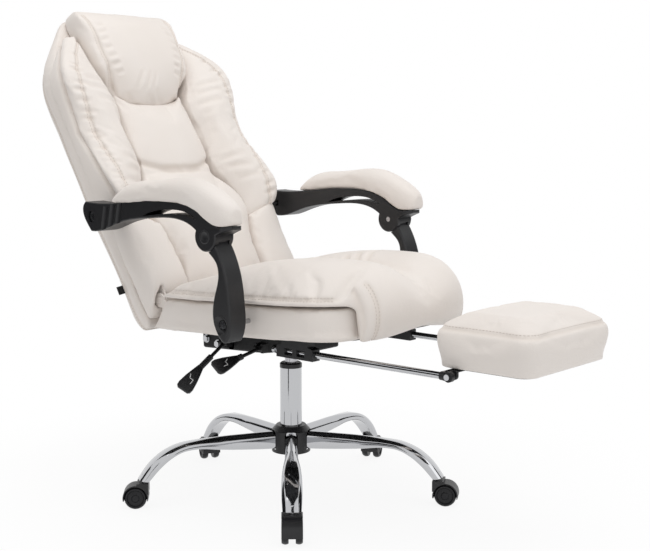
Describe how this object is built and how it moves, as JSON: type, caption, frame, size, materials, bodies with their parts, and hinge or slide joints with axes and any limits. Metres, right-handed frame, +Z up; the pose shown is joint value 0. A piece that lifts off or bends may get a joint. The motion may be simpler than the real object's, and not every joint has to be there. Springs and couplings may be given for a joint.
{
  "type": "office chair with footrest",
  "caption": "Reclining executive office chair in cream faux leather with linked armrests, pull-out footrest, gas lift column and chrome star base on twin-wheel casters.",
  "frame": {"origin": "on the column axis at floor level", "axes": "+Z up, -Y forward (towards the footrest), +X to the sitter's left"},
  "size_m": [0.7434, 1.3969, 1.123],
  "materials": {
    "cream_leather": "soft satin grain",
    "black_plastic": "fine matte texture",
    "wheel_plastic": "satin",
    "chrome": "polished",
    "steel": "ground",
    "black_steel": "powder coat",
    "plywood": "raw ply",
    "black_fabric": "woven tape"
  },
  "bodies": {
    "base": {"base_star": "chrome", "hub_cover": "black_plastic", "caster_stems": "steel", "column_tube": "chrome", "column_bush": "black_plastic", "thrust_bearing": "steel"},
    "rod": {"piston_rod": "steel"},
    "seat": {"gas_cylinder": "steel", "mechanism_pan": "black_steel", "mechanism_plate": "black_steel", "mechanism_bolts": "chrome", "lever_brackets": "black_steel", "seat_board": "plywood", "seat_base": "cream_leather", "seat_pillow": "cream_leather", "seat_front_roll": "cream_leather", "seat_side_plates": "black_steel", "post_bolts": "chrome", "footrest_rails": "black_plastic"},
    "valve": {"valve_pin": "steel"},
    "back": {"back_shell": "cream_leather", "back_board": "plywood", "back_side_arms": "black_steel", "lumbar_pad": "cream_leather", "center_pad": "cream_leather", "headrest": "cream_leather", "arm_pivot_bolts": "chrome", "seam_tab": "black_fabric", "lower_bolsters": "cream_leather", "wing_left": "cream_leather", "wing_right": "cream_leather"},
    "footrest_slider": {"footrest_frame": "chrome", "rod_end_caps": "black_plastic", "footrest_bolts": "chrome"},
    "footrest_pad": {"footrest_bracket": "black_steel", "footrest_board": "plywood", "footrest_cushion": "cream_leather"},
    "height_lever": {"height_lever_rod": "black_steel", "height_lever_paddle": "black_plastic"},
    "recline_lever": {"recline_lever_rod": "black_steel", "recline_lever_paddle": "black_plastic"},
    "post_left": {"post_left": "black_plastic"},
    "arm_left": {"arm_frame_left": "black_plastic", "arm_pad_left": "cream_leather", "arm_pin_left": "steel"},
    "post_right": {"post_right": "black_plastic"},
    "arm_right": {"arm_frame_right": "black_plastic", "arm_pad_right": "cream_leather", "arm_pin_right": "steel"},
    "caster_1": {"caster_hood_1": "black_plastic"},
    "wheels_1": {"caster_wheels_1": "wheel_plastic"},
    "caster_2": {"caster_hood_2": "black_plastic"},
    "wheels_2": {"caster_wheels_2": "wheel_plastic"},
    "caster_3": {"caster_hood_3": "black_plastic"},
    "wheels_3": {"caster_wheels_3": "wheel_plastic"},
    "caster_4": {"caster_hood_4": "black_plastic"},
    "wheels_4": {"caster_wheels_4": "wheel_plastic"},
    "caster_5": {"caster_hood_5": "black_plastic"},
    "wheels_5": {"caster_wheels_5": "wheel_plastic"}
  },
  "joints": [
    {"name": "swivel", "type": "hinge", "parent": "base", "child": "rod", "pos_m": [0, 0, 0.11], "axis": [0, 0, 1], "continuous": true},
    {"name": "lift", "type": "slide", "parent": "rod", "child": "seat", "axis": [0, 0, 1], "range_m": [0, 0.09]},
    {"name": "recline", "type": "hinge", "parent": "seat", "child": "back", "pos_m": [0, 0.2, 0.455], "axis": [1, 0, 0], "range_deg": [0, 20]},
    {"name": "footrest_slide", "type": "slide", "parent": "seat", "child": "footrest_slider", "axis": [0, 1, 0], "range_m": [0, 0.24]},
    {"name": "footrest_flip", "type": "hinge", "parent": "footrest_slider", "child": "footrest_pad", "pos_m": [0, -0.561, 0.374], "axis": [1, 0, 0], "range_deg": [0, 180]},
    {"name": "height_lever_turn", "type": "hinge", "parent": "seat", "child": "height_lever", "pos_m": [-0.118, 0.095, 0.357], "axis": [0, 1, 0], "range_deg": [0, 10], "stiffness_Nm_per_rad": 4, "springref_deg": -8.59},
    {"name": "recline_lever_turn", "type": "hinge", "parent": "seat", "child": "recline_lever", "pos_m": [-0.118, -0.016, 0.357], "axis": [0, 1, 0], "range_deg": [0, 10], "stiffness_Nm_per_rad": 4, "springref_deg": -8.59},
    {"name": "valve_press", "type": "slide", "parent": "seat", "child": "valve", "axis": [0, 0, -1], "range_m": [0, 0.004]},
    {"name": "post_left_turn", "type": "hinge", "parent": "seat", "child": "post_left", "pos_m": [0.3025, -0.104, 0.443], "axis": [1, 0, 0], "range_deg": [0, 22]},
    {"name": "arm_left_turn", "type": "hinge", "parent": "post_left", "child": "arm_left", "pos_m": [0.3025, -0.065, 0.622], "axis": [1, 0, 0], "range_deg": [-19, 0]},
    {"name": "post_right_turn", "type": "hinge", "parent": "seat", "child": "post_right", "pos_m": [-0.3025, -0.104, 0.443], "axis": [1, 0, 0], "range_deg": [0, 22]},
    {"name": "arm_right_turn", "type": "hinge", "parent": "post_right", "child": "arm_right", "pos_m": [-0.3025, -0.065, 0.622], "axis": [1, 0, 0], "range_deg": [-19, 0]},
    {"name": "caster_1_swivel", "type": "hinge", "parent": "base", "child": "caster_1", "pos_m": [-0.25355, -0.23397, 0.05], "axis": [0, 0, 1], "continuous": true},
    {"name": "wheels_1_roll", "type": "hinge", "parent": "caster_1", "child": "wheels_1", "pos_m": [-0.26751, -0.24685, 0.025], "axis": [0.6782, -0.7349, 0], "continuous": true},
    {"name": "caster_2_swivel", "type": "hinge", "parent": "base", "child": "caster_2", "pos_m": [0.14416, -0.31344, 0.05], "axis": [0, 0, 1], "continuous": true},
    {"name": "wheels_2_roll", "type": "hinge", "parent": "caster_2", "child": "wheels_2", "pos_m": [0.15366, -0.32989, 0.025], "axis": [0.866, 0.5, 0], "continuous": true},
    {"name": "caster_3_swivel", "type": "hinge", "parent": "base", "child": "caster_3", "pos_m": [0.34264, 0.04025, 0.05], "axis": [0, 0, 1], "continuous": true},
    {"name": "wheels_3_roll", "type": "hinge", "parent": "caster_3", "child": "wheels_3", "pos_m": [0.36, 0.04798, 0.025], "axis": [-0.4067, 0.9135, 0], "continuous": true},
    {"name": "caster_4_swivel", "type": "hinge", "parent": "base", "child": "caster_4", "pos_m": [0.0676, 0.33831, 0.05], "axis": [0, 0, 1], "continuous": true},
    {"name": "wheels_4_roll", "type": "hinge", "parent": "caster_4", "child": "wheels_4", "pos_m": [0.0771, 0.35477, 0.025], "axis": [-0.866, 0.5, 0], "continuous": true},
    {"name": "caster_5_swivel", "type": "hinge", "parent": "base", "child": "caster_5", "pos_m": [-0.30086, 0.16884, 0.05], "axis": [0, 0, 1], "continuous": true},
    {"name": "wheels_5_roll", "type": "hinge", "parent": "caster_5", "child": "wheels_5", "pos_m": [-0.3143, 0.18227, 0.025], "axis": [-0.7071, -0.7071, 0], "continuous": true}
  ],
  "couplings": [
    {"joint": "footrest_flip", "follows": "footrest_slide", "rad_per_m": 13.089},
    {"joint": "valve_press", "follows": "height_lever_turn", "m_per_rad": 0.0229},
    {"joint": "post_left_turn", "follows": "recline", "ratio": 1.0794},
    {"joint": "arm_left_turn", "follows": "recline", "ratio": -0.9131},
    {"joint": "post_right_turn", "follows": "recline", "ratio": 1.0794},
    {"joint": "arm_right_turn", "follows": "recline", "ratio": -0.9131}
  ]
}
